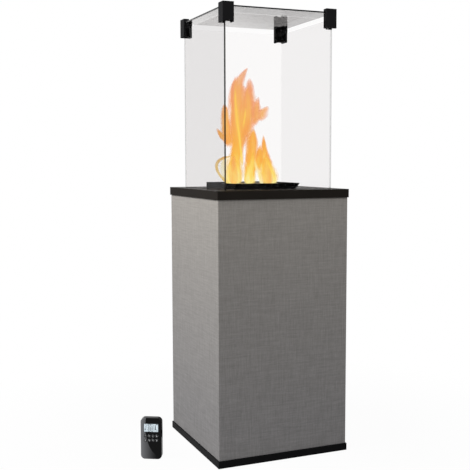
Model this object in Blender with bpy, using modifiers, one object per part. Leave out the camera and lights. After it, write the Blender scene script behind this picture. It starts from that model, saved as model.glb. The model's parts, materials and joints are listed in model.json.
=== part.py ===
"""Square patio gas heater: clad cabinet, black slab, glass flame box, burner and handset."""
import math

import bmesh
import bpy
from mathutils import Matrix, Vector

MM = 0.001

# Cabinet
BODY_SIDE = 428 * MM
SLAB_OVERHANG = 3.5 * MM
SLAB_HEIGHT = 26 * MM
SLAB_PLATE = 6 * MM
SLAB_SKIRT = 2 * MM
SLAB_BEVEL = 0.7 * MM
CABINET_HEIGHT = 825 * MM
PLINTH_OVERHANG = 3.5 * MM
PLINTH_HEIGHT = 22 * MM
PLINTH_FLANGE = 34 * MM
PLINTH_SHEET = 2 * MM
PANEL_SHEET = 1.5 * MM
PANEL_OVERLAP = 6 * MM
POST_WING = 25 * MM
POST_SHEET = 2 * MM
FIT = 0.3 * MM
RUNNING_GAP = 0.08 * MM

# Door
DOOR_GAP = 2 * MM
DOOR_REVEAL = 0.5 * MM
VENT_LENGTH = 60 * MM
VENT_HEIGHT = 5 * MM
VENT_PITCH = 14 * MM
VENT_ROWS = 4
VENT_COLUMNS = 3
VENT_COLUMN_PITCH = 80 * MM
VENT_MARGIN = 60 * MM
PLINTH_VENT_Y = 60 * MM
HINGE_HEIGHT = 48 * MM
HINGE_LEAF = 1.4 * MM
HINGE_WIDTH = 26 * MM
HINGE_KNUCKLE = 2.6 * MM
HINGE_PIN = 1.2 * MM
HINGE_OFFSET = 4 * MM
HINGE_HEAD = 1 * MM
HINGE_KNUCKLES = 3
HINGE_INSET = 110 * MM
LATCH_KNOB = 11 * MM
LATCH_KNOB_HEIGHT = 7 * MM
LATCH_GRIP = 4 * MM
LATCH_GRIP_HEIGHT = 9 * MM
latch_grip_share = 0.87
LATCH_SHAFT = 5 * MM
LATCH_CAM_LENGTH = 24 * MM
LATCH_CAM_WIDTH = 14 * MM
LATCH_CAM_SHEET = 3 * MM
LATCH_CAM_GAP = 1 * MM
LATCH_SIDE_GAP = 12 * MM

# Flame glass
GLASS_SIDE = 354 * MM
GLASS_HEIGHT = 516 * MM
GLASS_SHEET = 4 * MM
GROOVE_DEPTH = 3 * MM
GROOVE_PLAY = 0.5 * MM
LID_OVERHANG = 3 * MM
LID_SHEET = 4 * MM
LID_GAP = 17.5 * MM
BRACKET_WALL = 10 * MM
BRACKET_SIDE = 35.5 * MM
BRACKET_LINING = 3.7 * MM
BRACKET_HEIGHT = 58 * MM
BRACKET_TOP = 9 * MM
BRACKET_BEVEL = 0.8 * MM
BRACKET_ARCH = 3.4 * MM
BRACKET_ARCH_START = 7 * MM
BRACKET_ARCH_END = 30 * MM

# Burner
TRAY_LEFT = 122 * MM
TRAY_RIGHT = 97 * MM
TRAY_DEPTH = 242 * MM
TRAY_HEIGHT = 17.5 * MM
TRAY_SHEET = 1.5 * MM
TRAY_FLARE = 14 * MM
STEM_RADIUS = 9 * MM
STEM_HOLE_GAP = 3 * MM
STEM_DROP = 34 * MM
RING_RADIUS = 70 * MM
RING_TUBE = 6.5 * MM
RING_LIFT = 1 * MM
INJECTOR_RADIUS = 11 * MM
INJECTOR_HEIGHT = 26 * MM
PILOT_OFFSET = 38 * MM
PILOT_RADIUS = 4 * MM
PILOT_HEIGHT = 15 * MM
PILOT_HOOD = 6 * MM
PILOT_HOOD_HEIGHT = 5 * MM
SPARK_OFFSET = 14 * MM
SPARK_RADIUS = 2.5 * MM
SPARK_HEIGHT = 11 * MM
SPARK_WIRE = 0.8 * MM
SPARK_WIRE_HEIGHT = 6 * MM

# Gas train
HANGER_Y = 120 * MM
HANGER_WIDTH = 90 * MM
HANGER_MARGIN = 12 * MM
HANGER_FLANGE = 30 * MM
HANGER_SHEET = 2 * MM
VALVE_WIDTH = 60 * MM
VALVE_DEPTH = 38 * MM
VALVE_HEIGHT = 46 * MM
VALVE_SHAFT = 4 * MM
VALVE_SHAFT_REACH = 14 * MM
VALVE_PORT = 7 * MM
VALVE_PORT_REACH = 12 * MM
valve_inlet_share = 0.25
KNOB_RADIUS = 18 * MM
KNOB_HEIGHT = 17 * MM
KNOB_SKIRT = 4 * MM
KNOB_SHOULDER = 8 * MM
KNOB_WAIST = 14 * MM
KNOB_POINTER = 3 * MM
KNOB_STANDOFF = 1 * MM
PIPE_RADIUS = 4 * MM
PIPE_BORE = 3 * MM
PIPE_BEND = 22 * MM
PIPE_RISE = 12 * MM
BOX_WIDTH = 100 * MM
BOX_HEIGHT = 66 * MM
BOX_DEPTH = 32 * MM
BOX_WALL = 2 * MM
BOX_DROP = 90 * MM
COVER_LIP = 4 * MM
RING_GUIDE_RADIUS = 158 * MM
RING_GUIDE_TUBE = 4 * MM

# Handset
HANDSET_X = -372 * MM
HANDSET_Y = -48 * MM
HANDSET_TURN = -28
HANDSET_WIDTH = 65 * MM
HANDSET_HEIGHT = 129 * MM
HANDSET_DEPTH = 18 * MM
HANDSET_CORNER = 13 * MM
HANDSET_WALL = 2 * MM
HANDSET_BEVEL = 1.2 * MM
HANDSET_BACK = 2 * MM
HANDSET_LIFT = 0.2 * MM
DISPLAY_WIDTH = 44 * MM
DISPLAY_HEIGHT = 25 * MM
DISPLAY_TOP = 18.5 * MM
DISPLAY_RECESS = 0.4 * MM
BOARD_SHEET = 1.6 * MM
BOARD_BACK = 9 * MM
KEY_RADIUS = 4.8 * MM
KEY_FLANGE = 0.85 * MM
KEY_FLANGE_SHEET = 1 * MM
KEY_PROUD = 0.7 * MM
KEY_EDGE = 0.3 * MM
KEY_GAP = 0.3 * MM
KEY_PITCH_Z = 13.5 * MM
KEY_TOP_ROW = 56.4 * MM
KEY_COLUMNS = 4
KEY_ROWS = 2
KEY_POST = 1.5 * MM
KEY_TRAVEL_GAP = 1.3 * MM

ROUND_STEPS = 48
SMALL_STEPS = 24
RING_STEPS = 64
CORNER_STEPS = 8
TUBE_STEPS = 6
RING_TUBE_STEPS = 4
GUIDE_TUBE_STEPS = 3
BEVEL_STEPS = 2
CASE_BEVEL_STEPS = 3
MERGE = 0.01 * MM
OVERCUT = 5 * MM

# Worked-out places
HALF_BODY = BODY_SIDE / 2
HALF_SLAB = HALF_BODY + SLAB_OVERHANG
HALF_PLINTH = HALF_BODY + PLINTH_OVERHANG
SLAB_BOTTOM = CABINET_HEIGHT - SLAB_HEIGHT
PLATE_UNDER = CABINET_HEIGHT - SLAB_PLATE
INNER_FACE = HALF_BODY - PANEL_SHEET
PANEL_BOTTOM = PLINTH_HEIGHT + FIT
PANEL_TOP = SLAB_BOTTOM + PANEL_OVERLAP
HALF_GLASS = GLASS_SIDE / 2
HALF_LID = HALF_GLASS + LID_OVERHANG
GLASS_BOTTOM = CABINET_HEIGHT - GROOVE_DEPTH + FIT
GLASS_TOP = CABINET_HEIGHT + GLASS_HEIGHT
LID_BOTTOM = GLASS_TOP + LID_GAP
LID_TOP = LID_BOTTOM + LID_SHEET
BRACKET_Z1 = LID_TOP + BRACKET_TOP
BRACKET_Z0 = BRACKET_Z1 - BRACKET_HEIGHT
HALF_BRACKET = HALF_GLASS + BRACKET_WALL
TRAY_BOTTOM = CABINET_HEIGHT + FIT
TRAY_FLOOR = TRAY_BOTTOM + TRAY_SHEET
STEM_BOTTOM = CABINET_HEIGHT - STEM_DROP
CORNERS = {"front_left": (-1, -1), "front_right": (1, -1), "rear_right": (1, 1), "rear_left": (-1, 1)}

for old in list(bpy.data.objects):
    bpy.data.objects.remove(old, do_unlink=True)

parts = bpy.data.collections.new("gas_heater")
cutters = bpy.data.collections.new("cutters")
bpy.context.scene.collection.children.link(parts)
bpy.context.scene.collection.children.link(cutters)


def material(name, colour, roughness, metallic=0.0, transmission=0.0):
    """A Principled material of the sub-part's own colour."""
    made = bpy.data.materials.new(name)
    made.use_nodes = True
    shader = made.node_tree.nodes["Principled BSDF"]
    shader.inputs["Base Color"].default_value = (*colour, 1.0)
    shader.inputs["Roughness"].default_value = roughness
    shader.inputs["Metallic"].default_value = metallic
    shader.inputs["Transmission Weight"].default_value = transmission
    made.diffuse_color = (*colour, 1.0)
    return made


FINISH = {
    "black_gloss": ((0.012, 0.012, 0.013), 0.18, 0.0),
    "black_satin": ((0.010, 0.010, 0.011), 0.35, 0.0),
    "weave": ((0.17, 0.165, 0.155), 0.75, 0.0),
    "steel": ((0.45, 0.45, 0.46), 0.38, 1.0),
    "zinc": ((0.33, 0.34, 0.35), 0.5, 1.0),
    "brass": ((0.62, 0.44, 0.18), 0.35, 1.0),
    "glass": ((0.85, 0.9, 0.88), 0.03, 0.0),
    "grey_plastic": ((0.2, 0.2, 0.21), 0.5, 0.0),
    "ceramic": ((0.8, 0.78, 0.72), 0.4, 0.0),
    "display": ((0.62, 0.70, 0.74), 0.2, 0.0),
    "board": ((0.03, 0.16, 0.07), 0.5, 0.0),
}


def add(name, mesh, finish, location=(0, 0, 0), parent=None):
    """Put a mesh in the parts collection under its own name and material."""
    piece = bpy.data.objects.new(name, mesh)
    colour, roughness, metallic = FINISH[finish]
    see_through = 0.9 if finish == "glass" else 0.0
    mesh.materials.clear()
    mesh.materials.append(material(name + "_finish", colour, roughness, metallic, see_through))
    piece.location = location
    piece.parent = parent
    parts.objects.link(piece)
    return piece


def tool(name, mesh, parent=None):
    """A hidden solid that a Boolean uses."""
    solid = bpy.data.objects.new(name, mesh)
    solid.hide_render = True
    solid.display_type = "WIRE"
    solid.parent = parent
    cutters.objects.link(solid)
    return solid


def boolean(piece, mesh, operation="DIFFERENCE"):
    """Cut a solid from a piece, or join it on; the solid is in the piece's own frame."""
    label = piece.name + "_" + operation.lower() + str(len(piece.modifiers))
    solid = tool(label, mesh)
    solid.location = piece.location
    solid.rotation_euler = piece.rotation_euler
    solid.parent = piece.parent
    step = piece.modifiers.new(label, "BOOLEAN")
    step.operation = operation
    step.solver = "EXACT"
    step.object = solid
    return piece


def bevel(piece, width, segments=BEVEL_STEPS):
    step = piece.modifiers.new("edge", "BEVEL")
    step.width = width
    step.segments = segments
    step.limit_method = "ANGLE"
    return piece


def block(low, high):
    """A box mesh between two corners."""
    low = Vector(low)
    high = Vector(high)
    mesh = bpy.data.meshes.new("block")
    solid = bmesh.new()
    bmesh.ops.create_cube(solid, size=1.0)
    bmesh.ops.scale(solid, vec=high - low, verts=solid.verts)
    bmesh.ops.translate(solid, vec=(low + high) / 2, verts=solid.verts)
    solid.to_mesh(mesh)
    solid.free()
    return mesh


def cylinder(radius, start, end, steps=ROUND_STEPS, end_radius=None):
    """A round bar mesh between two points, tapered where it has an end radius."""
    start = Vector(start)
    end = Vector(end)
    run = end - start
    mesh = bpy.data.meshes.new("bar")
    solid = bmesh.new()
    far = radius if end_radius is None else end_radius
    bmesh.ops.create_cone(
        solid, cap_ends=True, segments=steps, radius1=radius, radius2=far, depth=run.length
    )
    turn = Vector((0, 0, 1)).rotation_difference(run.normalized()).to_matrix().to_4x4()
    bmesh.ops.transform(solid, matrix=Matrix.Translation((start + end) / 2) @ turn, verts=solid.verts)
    solid.to_mesh(mesh)
    solid.free()
    return mesh


def prism(outline, low, high, axis="z"):
    """Extrude a closed outline, given anticlockwise about the axis it is extruded along."""
    mesh = bpy.data.meshes.new("prism")
    solid = bmesh.new()
    lay = {
        "z": lambda a, b, c: (a, b, c),
        "y": lambda a, b, c: (b, c, a),
        "x": lambda a, b, c: (c, a, b),
    }[axis]
    near = [solid.verts.new(lay(a, b, low)) for a, b in outline]
    face = solid.faces.new(reversed(near))
    far = bmesh.ops.extrude_face_region(solid, geom=[face])["geom"]
    shift = Vector(lay(0, 0, high - low))
    bmesh.ops.translate(solid, vec=shift, verts=[g for g in far if isinstance(g, bmesh.types.BMVert)])
    bmesh.ops.recalc_face_normals(solid, faces=solid.faces)
    solid.to_mesh(mesh)
    solid.free()
    return mesh


def turned(profile, steps=ROUND_STEPS):
    """Turn a closed half-section about Z; the section's points are (radius, height)."""
    mesh = bpy.data.meshes.new("turned")
    solid = bmesh.new()
    points = [solid.verts.new((radius, 0, height)) for radius, height in profile]
    edges = [solid.edges.new((a, b)) for a, b in zip(points, points[1:])]
    bmesh.ops.spin(
        solid, geom=points + edges, cent=(0, 0, 0), axis=(0, 0, 1),
        angle=math.tau, steps=steps, use_duplicate=False, use_merge=True,
    )
    bmesh.ops.remove_doubles(solid, verts=solid.verts, dist=MERGE)
    bmesh.ops.recalc_face_normals(solid, faces=solid.faces)
    solid.to_mesh(mesh)
    solid.free()
    return mesh


def sweep(points, radius, closed=False, resolution=TUBE_STEPS):
    """A round bar along a line of points, with filled ends, as a mesh."""
    line = bpy.data.curves.new("line", "CURVE")
    line.dimensions = "3D"
    line.bevel_depth = radius
    line.bevel_resolution = resolution
    line.use_fill_caps = not closed
    spline = line.splines.new("POLY")
    spline.points.add(len(points) - 1)
    for target, point in zip(spline.points, points):
        target.co = (*point, 1.0)
    spline.use_cyclic_u = closed
    carrier = bpy.data.objects.new("line", line)
    bpy.context.scene.collection.objects.link(carrier)
    view = bpy.context.evaluated_depsgraph_get()
    view.update()
    mesh = bpy.data.meshes.new_from_object(carrier.evaluated_get(view))
    bpy.data.objects.remove(carrier, do_unlink=True)
    solid = bmesh.new()
    solid.from_mesh(mesh)
    bmesh.ops.remove_doubles(solid, verts=solid.verts, dist=MERGE)
    bmesh.ops.recalc_face_normals(solid, faces=solid.faces)
    solid.to_mesh(mesh)
    solid.free()
    return mesh


def centred(half_x, half_y, low, high):
    return block((-half_x, -half_y, low), (half_x, half_y, high))


# Plinth: a folded pan whose top flange carries the posts and panels
base_pan = add("base_pan", centred(HALF_PLINTH, HALF_PLINTH, 0, PLINTH_HEIGHT), "black_satin")
bevel(base_pan, SLAB_BEVEL)
pan_inside = HALF_PLINTH - PLINTH_SHEET
pan_mouth = HALF_PLINTH - PLINTH_FLANGE
boolean(base_pan, centred(pan_inside, pan_inside, PLINTH_SHEET, PLINTH_HEIGHT - PLINTH_SHEET))
boolean(base_pan, centred(pan_mouth, pan_mouth, PLINTH_HEIGHT / 2, PLINTH_HEIGHT + OVERCUT))
for vent_y in (-PLINTH_VENT_Y, PLINTH_VENT_Y):
    for column in range(VENT_COLUMNS):
        vent_x = (column - (VENT_COLUMNS - 1) / 2) * VENT_COLUMN_PITCH
        boolean(base_pan, block(
            (vent_x - VENT_LENGTH / 2, vent_y - VENT_HEIGHT / 2, -OVERCUT),
            (vent_x + VENT_LENGTH / 2, vent_y + VENT_HEIGHT / 2, PLINTH_SHEET + OVERCUT),
        ))

# Corner posts, folded to an angle
post_face = INNER_FACE - FIT
for corner, (side_x, side_y) in CORNERS.items():
    inner = post_face - POST_SHEET
    wing = post_face - POST_WING
    outline = [
        (side_x * post_face, side_y * post_face), (side_x * wing, side_y * post_face),
        (side_x * wing, side_y * inner), (side_x * inner, side_y * inner),
        (side_x * inner, side_y * wing), (side_x * post_face, side_y * wing),
    ]
    add("post_" + corner, prism(outline, PLINTH_HEIGHT + FIT, PLATE_UNDER - FIT), "steel")

# Cladding panels and the rear door
door_y = HALF_BODY - PANEL_SHEET
add("front_panel", block(
    (-HALF_BODY, -HALF_BODY, PANEL_BOTTOM), (HALF_BODY, -INNER_FACE, PANEL_TOP)
), "weave")
for side_name, side in (("left_panel", -1), ("right_panel", 1)):
    faces = sorted((side * INNER_FACE, side * HALF_BODY))
    add(side_name, block(
        (faces[0], -INNER_FACE + FIT, PANEL_BOTTOM), (faces[1], door_y - DOOR_REVEAL, PANEL_TOP)
    ), "weave")

door_low = PLINTH_HEIGHT + DOOR_GAP
door_high = SLAB_BOTTOM - DOOR_GAP
hinge_x = HALF_BODY + FIT + HINGE_LEAF / 2
hinge_y = HALF_BODY + HINGE_OFFSET
latch_x = -(post_face - POST_WING) + LATCH_SIDE_GAP
latch_z = (door_low + door_high) / 2
door = add("rear_door", block(
    (-HALF_BODY - hinge_x, door_y - hinge_y, door_low), (HALF_BODY - hinge_x, HALF_BODY - hinge_y, door_high)
), "weave", (hinge_x, hinge_y, 0))
for row in range(VENT_ROWS):
    for column in range(VENT_COLUMNS):
        vent_x = (column - (VENT_COLUMNS - 1) / 2) * VENT_COLUMN_PITCH - hinge_x
        for vent_z in (door_low + VENT_MARGIN + row * VENT_PITCH, door_high - VENT_MARGIN - row * VENT_PITCH):
            boolean(door, block(
                (vent_x - VENT_LENGTH / 2, -hinge_y, vent_z - VENT_HEIGHT / 2),
                (vent_x + VENT_LENGTH / 2, hinge_y, vent_z + VENT_HEIGHT / 2),
            ))
boolean(door, cylinder(
    LATCH_SHAFT + RUNNING_GAP, (latch_x - hinge_x, -hinge_y, latch_z), (latch_x - hinge_x, hinge_y, latch_z)
))

# Hinges: a leaf on the right panel, a leaf on the door and the pin
knuckle = HINGE_HEIGHT / HINGE_KNUCKLES
bore = HINGE_PIN + RUNNING_GAP
for hinge, centre_z in (("upper", door_high - HINGE_INSET), ("lower", door_low + HINGE_INSET)):
    low = centre_z - HINGE_HEIGHT / 2
    high = centre_z + HINGE_HEIGHT / 2
    place = (hinge_x, hinge_y, 0)
    half_leaf = HINGE_LEAF / 2
    side_leaf = add("hinge_leaf_side_" + hinge, block(
        (-half_leaf, -HINGE_WIDTH, low), (half_leaf, 0, high)
    ), "zinc", place)
    boolean(side_leaf, block(
        (-OVERCUT, -HINGE_OFFSET, low + knuckle - FIT), (OVERCUT, OVERCUT, high - knuckle + FIT)
    ))
    for start in (low, high - knuckle):
        boolean(side_leaf, cylinder(
            HINGE_KNUCKLE, (0, 0, start), (0, 0, start + knuckle), SMALL_STEPS
        ), "UNION")
    boolean(side_leaf, cylinder(bore, (0, 0, low - OVERCUT), (0, 0, high + OVERCUT), SMALL_STEPS))
    door_face = HALF_BODY + FIT - hinge_y
    door_leaf = add("hinge_leaf_door_" + hinge, block(
        (-HINGE_WIDTH, door_face, low), (-HINGE_KNUCKLE - FIT, door_face + HINGE_LEAF, high)
    ), "zinc", place)
    boolean(door_leaf, block(
        (-HINGE_WIDTH / 2, door_face, low + knuckle + FIT), (0, door_face + HINGE_LEAF, high - knuckle - FIT)
    ), "UNION")
    boolean(door_leaf, cylinder(
        HINGE_KNUCKLE, (0, 0, low + knuckle + FIT), (0, 0, high - knuckle - FIT), SMALL_STEPS
    ), "UNION")
    boolean(door_leaf, cylinder(bore, (0, 0, low - OVERCUT), (0, 0, high + OVERCUT), SMALL_STEPS))
    pin = add("hinge_pin_" + hinge, cylinder(
        HINGE_PIN, (0, 0, low - FIT - HINGE_HEAD), (0, 0, high + FIT + HINGE_HEAD), SMALL_STEPS
    ), "steel", place)
    for start in (low - FIT - HINGE_HEAD, high + FIT):
        boolean(pin, cylinder(
            HINGE_KNUCKLE, (0, 0, start), (0, 0, start + HINGE_HEAD), SMALL_STEPS
        ), "UNION")

# Quarter-turn latch, with its cam upright and clear of the post
outside = HALF_BODY + FIT
cam_face = post_face - POST_SHEET - LATCH_CAM_GAP
grip_half = LATCH_KNOB * latch_grip_share
latch = add("door_latch", cylinder(
    LATCH_SHAFT, (0, cam_face - LATCH_CAM_SHEET, 0), (0, outside + LATCH_KNOB_HEIGHT / 2, 0), SMALL_STEPS
), "black_satin", (latch_x, 0, latch_z))
boolean(latch, cylinder(
    LATCH_KNOB, (0, outside, 0), (0, outside + LATCH_KNOB_HEIGHT, 0)
), "UNION")
boolean(latch, block(
    (-LATCH_GRIP / 2, outside + LATCH_KNOB_HEIGHT / 2, -grip_half),
    (LATCH_GRIP / 2, outside + LATCH_KNOB_HEIGHT + LATCH_GRIP_HEIGHT, grip_half),
), "UNION")
boolean(latch, block(
    (-LATCH_CAM_WIDTH / 2, cam_face - LATCH_CAM_SHEET, -LATCH_CAM_WIDTH / 2),
    (LATCH_CAM_WIDTH / 2, cam_face, LATCH_CAM_LENGTH),
), "UNION")

# Slab that caps the cabinet and carries the flame glass
slab = add("top_slab", centred(HALF_SLAB, HALF_SLAB, SLAB_BOTTOM, CABINET_HEIGHT), "black_gloss")
bevel(slab, SLAB_BEVEL)
slab_inside = HALF_SLAB - SLAB_SKIRT
boolean(slab, centred(slab_inside, slab_inside, SLAB_BOTTOM - OVERCUT, PLATE_UNDER))
groove_out = HALF_GLASS + GROOVE_PLAY
groove_in = HALF_GLASS - GLASS_SHEET - GROOVE_PLAY
groove_floor = CABINET_HEIGHT - GROOVE_DEPTH
for side in (-1, 1):
    ends = sorted((side * groove_in, side * groove_out))
    boolean(slab, block(
        (-groove_out, ends[0], groove_floor), (groove_out, ends[1], CABINET_HEIGHT + OVERCUT)
    ))
    boolean(slab, block(
        (ends[0], -groove_out, groove_floor), (ends[1], groove_out, CABINET_HEIGHT + OVERCUT)
    ))
stem_hole = STEM_RADIUS + STEM_HOLE_GAP
boolean(slab, cylinder(stem_hole, (0, 0, SLAB_BOTTOM), (0, 0, CABINET_HEIGHT + OVERCUT)))

# Flame glass: four side panes and the lid pane
pane_inside = HALF_GLASS - GLASS_SHEET
for name, side in (("front_pane", -1), ("rear_pane", 1)):
    ends = sorted((side * pane_inside, side * HALF_GLASS))
    add(name, block((-HALF_GLASS, ends[0], GLASS_BOTTOM), (HALF_GLASS, ends[1], GLASS_TOP)), "glass")
for name, side in (("left_pane", -1), ("right_pane", 1)):
    ends = sorted((side * pane_inside, side * HALF_GLASS))
    reach = pane_inside - FIT
    add(name, block((ends[0], -reach, GLASS_BOTTOM), (ends[1], reach, GLASS_TOP)), "glass")
add("lid_pane", centred(HALF_LID, HALF_LID, LID_BOTTOM, LID_TOP), "glass")

# Corner brackets: angles of two flanges, slotted for the two side panes and the lid pane
slot_far = BRACKET_WALL - FIT
slot_near = slot_far + GLASS_SHEET + 2 * FIT
flange = slot_near + BRACKET_LINING
lid_slot = HALF_BRACKET - HALF_LID - FIT
for corner, (side_x, side_y) in CORNERS.items():
    def mirrored(low, high, side_x=side_x, side_y=side_y):
        """A box given outwards from the bracket's outer corner, turned to this corner."""
        xs = sorted((-side_x * low[0], -side_x * high[0]))
        ys = sorted((-side_y * low[1], -side_y * high[1]))
        return block((xs[0], ys[0], low[2]), (xs[1], ys[1], high[2]))

    bracket = add(
        "bracket_" + corner, mirrored((0, 0, BRACKET_Z0), (BRACKET_SIDE, BRACKET_SIDE, BRACKET_Z1)),
        "black_satin", (side_x * HALF_BRACKET, side_y * HALF_BRACKET, 0),
    )
    bevel(bracket, BRACKET_BEVEL)
    under = BRACKET_Z0 - OVERCUT
    past = BRACKET_SIDE + OVERCUT
    slot_top = GLASS_TOP + FIT
    boolean(bracket, mirrored((flange, flange, under), (past, past, BRACKET_Z1 + OVERCUT)))
    boolean(bracket, mirrored((slot_far, slot_far, under), (past, slot_near, slot_top)))
    boolean(bracket, mirrored((slot_far, slot_far, under), (slot_near, past, slot_top)))
    boolean(bracket, mirrored((lid_slot, lid_slot, LID_BOTTOM - FIT), (past, past, LID_TOP + FIT)))
    arch_top = BRACKET_Z0 + BRACKET_ARCH
    through = flange + OVERCUT
    if side_x == side_y:
        boolean(bracket, mirrored(
            (BRACKET_ARCH_START, -OVERCUT, under), (BRACKET_ARCH_END, through, arch_top)
        ))
    else:
        boolean(bracket, mirrored(
            (-OVERCUT, BRACKET_ARCH_START, under), (through, BRACKET_ARCH_END, arch_top)
        ))

# Burner tray, with its right side flared
half_tray = TRAY_DEPTH / 2
tray_top = TRAY_BOTTOM + TRAY_HEIGHT
foot_x = TRAY_RIGHT - TRAY_FLARE
tray = add("burner_tray", prism([
    (TRAY_BOTTOM, -TRAY_LEFT), (TRAY_BOTTOM, foot_x), (tray_top, TRAY_RIGHT), (tray_top, -TRAY_LEFT),
], -half_tray, half_tray, "y"), "black_satin")
slope = math.hypot(TRAY_FLARE, TRAY_HEIGHT) / TRAY_HEIGHT * TRAY_SHEET
rise = TRAY_FLARE / TRAY_HEIGHT
over = tray_top + OVERCUT
boolean(tray, prism([
    (TRAY_FLOOR, -TRAY_LEFT + TRAY_SHEET), (TRAY_FLOOR, foot_x + rise * TRAY_SHEET - slope),
    (over, TRAY_RIGHT + rise * OVERCUT - slope), (over, -TRAY_LEFT + TRAY_SHEET),
], -half_tray + TRAY_SHEET, half_tray - TRAY_SHEET, "y"))
boolean(tray, cylinder(stem_hole, (0, 0, CABINET_HEIGHT - OVERCUT), (0, 0, over)))

# Burner ring on its stem, and the injector under the slab
ring_z = TRAY_FLOOR + RING_LIFT + RING_TUBE
ring_line = [
    (RING_RADIUS * math.cos(math.tau * i / RING_STEPS), RING_RADIUS * math.sin(math.tau * i / RING_STEPS), 0)
    for i in range(RING_STEPS)
]
burner = add(
    "burner_ring", sweep(ring_line, RING_TUBE, closed=True, resolution=RING_TUBE_STEPS),
    "steel", (0, 0, ring_z)
)
boolean(burner, cylinder(
    RING_TUBE - RING_LIFT, (-RING_RADIUS, 0, 0), (RING_RADIUS, 0, 0), SMALL_STEPS
), "UNION")
boolean(burner, cylinder(STEM_RADIUS, (0, 0, STEM_BOTTOM - ring_z), (0, 0, 0)), "UNION")
injector_top = STEM_BOTTOM - FIT
injector_low = injector_top - INJECTOR_HEIGHT
injector = add("injector", cylinder(INJECTOR_RADIUS, (0, 0, injector_low), (0, 0, injector_top)), "brass")
boolean(injector, cylinder(
    PIPE_RADIUS + FIT, (0, 0, injector_low - OVERCUT), (0, 0, injector_low + OVERCUT), SMALL_STEPS
))

pilot = add("pilot_burner", cylinder(
    PILOT_RADIUS, (0, 0, TRAY_FLOOR + FIT), (0, 0, TRAY_FLOOR + PILOT_HEIGHT), SMALL_STEPS
), "steel", (PILOT_OFFSET, PILOT_OFFSET / 2, 0))
boolean(pilot, cylinder(
    PILOT_HOOD, (0, 0, TRAY_FLOOR + PILOT_HEIGHT - PILOT_HOOD_HEIGHT), (0, 0, TRAY_FLOOR + PILOT_HEIGHT),
    SMALL_STEPS
), "UNION")
spark = add("spark_electrode", cylinder(
    SPARK_RADIUS, (0, 0, TRAY_FLOOR + FIT), (0, 0, TRAY_FLOOR + SPARK_HEIGHT), SMALL_STEPS
), "ceramic", (PILOT_OFFSET, PILOT_OFFSET / 2 + SPARK_OFFSET, 0))
boolean(spark, cylinder(
    SPARK_WIRE, (0, 0, TRAY_FLOOR + SPARK_HEIGHT / 2), (0, 0, TRAY_FLOOR + SPARK_HEIGHT + SPARK_WIRE_HEIGHT),
    SMALL_STEPS
), "UNION")

# Hanger, control valve, knob and the pipe to the injector
hanger_top = PLATE_UNDER - FIT
valve_z = injector_low - PIPE_RISE - PIPE_BEND
hanger_low = valve_z - VALVE_HEIGHT / 2 - HANGER_MARGIN
hanger_far = HANGER_Y + HANGER_SHEET
hanger = add("valve_hanger", prism([
    (HANGER_Y, hanger_low), (hanger_far, hanger_low), (hanger_far, hanger_top),
    (HANGER_Y - HANGER_FLANGE, hanger_top), (HANGER_Y - HANGER_FLANGE, hanger_top - HANGER_SHEET),
    (HANGER_Y, hanger_top - HANGER_SHEET),
], -HANGER_WIDTH / 2, HANGER_WIDTH / 2, "x"), "zinc")
valve_far = HANGER_Y - FIT
boolean(hanger, cylinder(
    VALVE_SHAFT + FIT, (0, HANGER_Y - OVERCUT, valve_z), (0, hanger_far + OVERCUT, valve_z), SMALL_STEPS
))
valve_near = valve_far - VALVE_DEPTH
valve = add("control_valve", block(
    (-VALVE_WIDTH / 2, valve_near, valve_z - VALVE_HEIGHT / 2),
    (VALVE_WIDTH / 2, valve_far, valve_z + VALVE_HEIGHT / 2),
), "brass")
bevel(valve, HANGER_SHEET)
valve_mid = (valve_near + valve_far) / 2
shaft_end = hanger_far + VALVE_SHAFT_REACH
boolean(valve, cylinder(VALVE_SHAFT, (0, valve_mid, valve_z), (0, shaft_end, valve_z), SMALL_STEPS), "UNION")
port_end = valve_near - VALVE_PORT_REACH
boolean(valve, cylinder(VALVE_PORT, (0, valve_mid, valve_z), (0, port_end, valve_z), SMALL_STEPS), "UNION")
inlet_end = valve_z - VALVE_HEIGHT / 2 - VALVE_PORT_REACH
inlet_x = VALVE_WIDTH * valve_inlet_share
boolean(valve, cylinder(
    VALVE_PORT, (inlet_x, valve_mid, valve_z), (inlet_x, valve_mid, inlet_end), SMALL_STEPS
), "UNION")
boolean(valve, cylinder(
    PIPE_RADIUS + FIT, (0, port_end - OVERCUT, valve_z), (0, port_end + OVERCUT, valve_z), SMALL_STEPS
))

knob_near = hanger_far + KNOB_STANDOFF
knob = add("valve_knob", turned([
    (0, KNOB_HEIGHT), (KNOB_WAIST, KNOB_HEIGHT), (KNOB_WAIST, KNOB_SHOULDER),
    (KNOB_RADIUS, KNOB_SKIRT), (KNOB_RADIUS, 0), (0, 0),
]), "black_satin", (0, knob_near, valve_z))
knob.rotation_euler = (-math.pi / 2, 0, 0)
boolean(knob, block(
    (-KNOB_POINTER / 2, 0, KNOB_SKIRT), (KNOB_POINTER / 2, KNOB_RADIUS, KNOB_HEIGHT)
), "UNION")
shaft_in_knob = shaft_end - knob_near + FIT
boolean(knob, cylinder(VALVE_SHAFT + RUNNING_GAP, (0, 0, -OVERCUT), (0, 0, shaft_in_knob), SMALL_STEPS))

pipe_start = port_end + OVERCUT - FIT
pipe_top = injector_low + OVERCUT - FIT
bend_y = PIPE_BEND
bend_z = valve_z + PIPE_BEND
bend = [
    (0, bend_y - PIPE_BEND * math.sin(a), bend_z - PIPE_BEND * math.cos(a))
    for a in [math.pi / 2 * i / CORNER_STEPS for i in range(CORNER_STEPS + 1)]
]
pipe_line = [(0, pipe_start, valve_z)] + bend + [(0, 0, pipe_top)]
pipe = add("gas_pipe", sweep(pipe_line, PIPE_RADIUS), "steel")
past_start = (0, pipe_start + OVERCUT, valve_z)
boolean(pipe, sweep([past_start] + bend + [(0, 0, pipe_top + OVERCUT)], PIPE_BORE))

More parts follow.
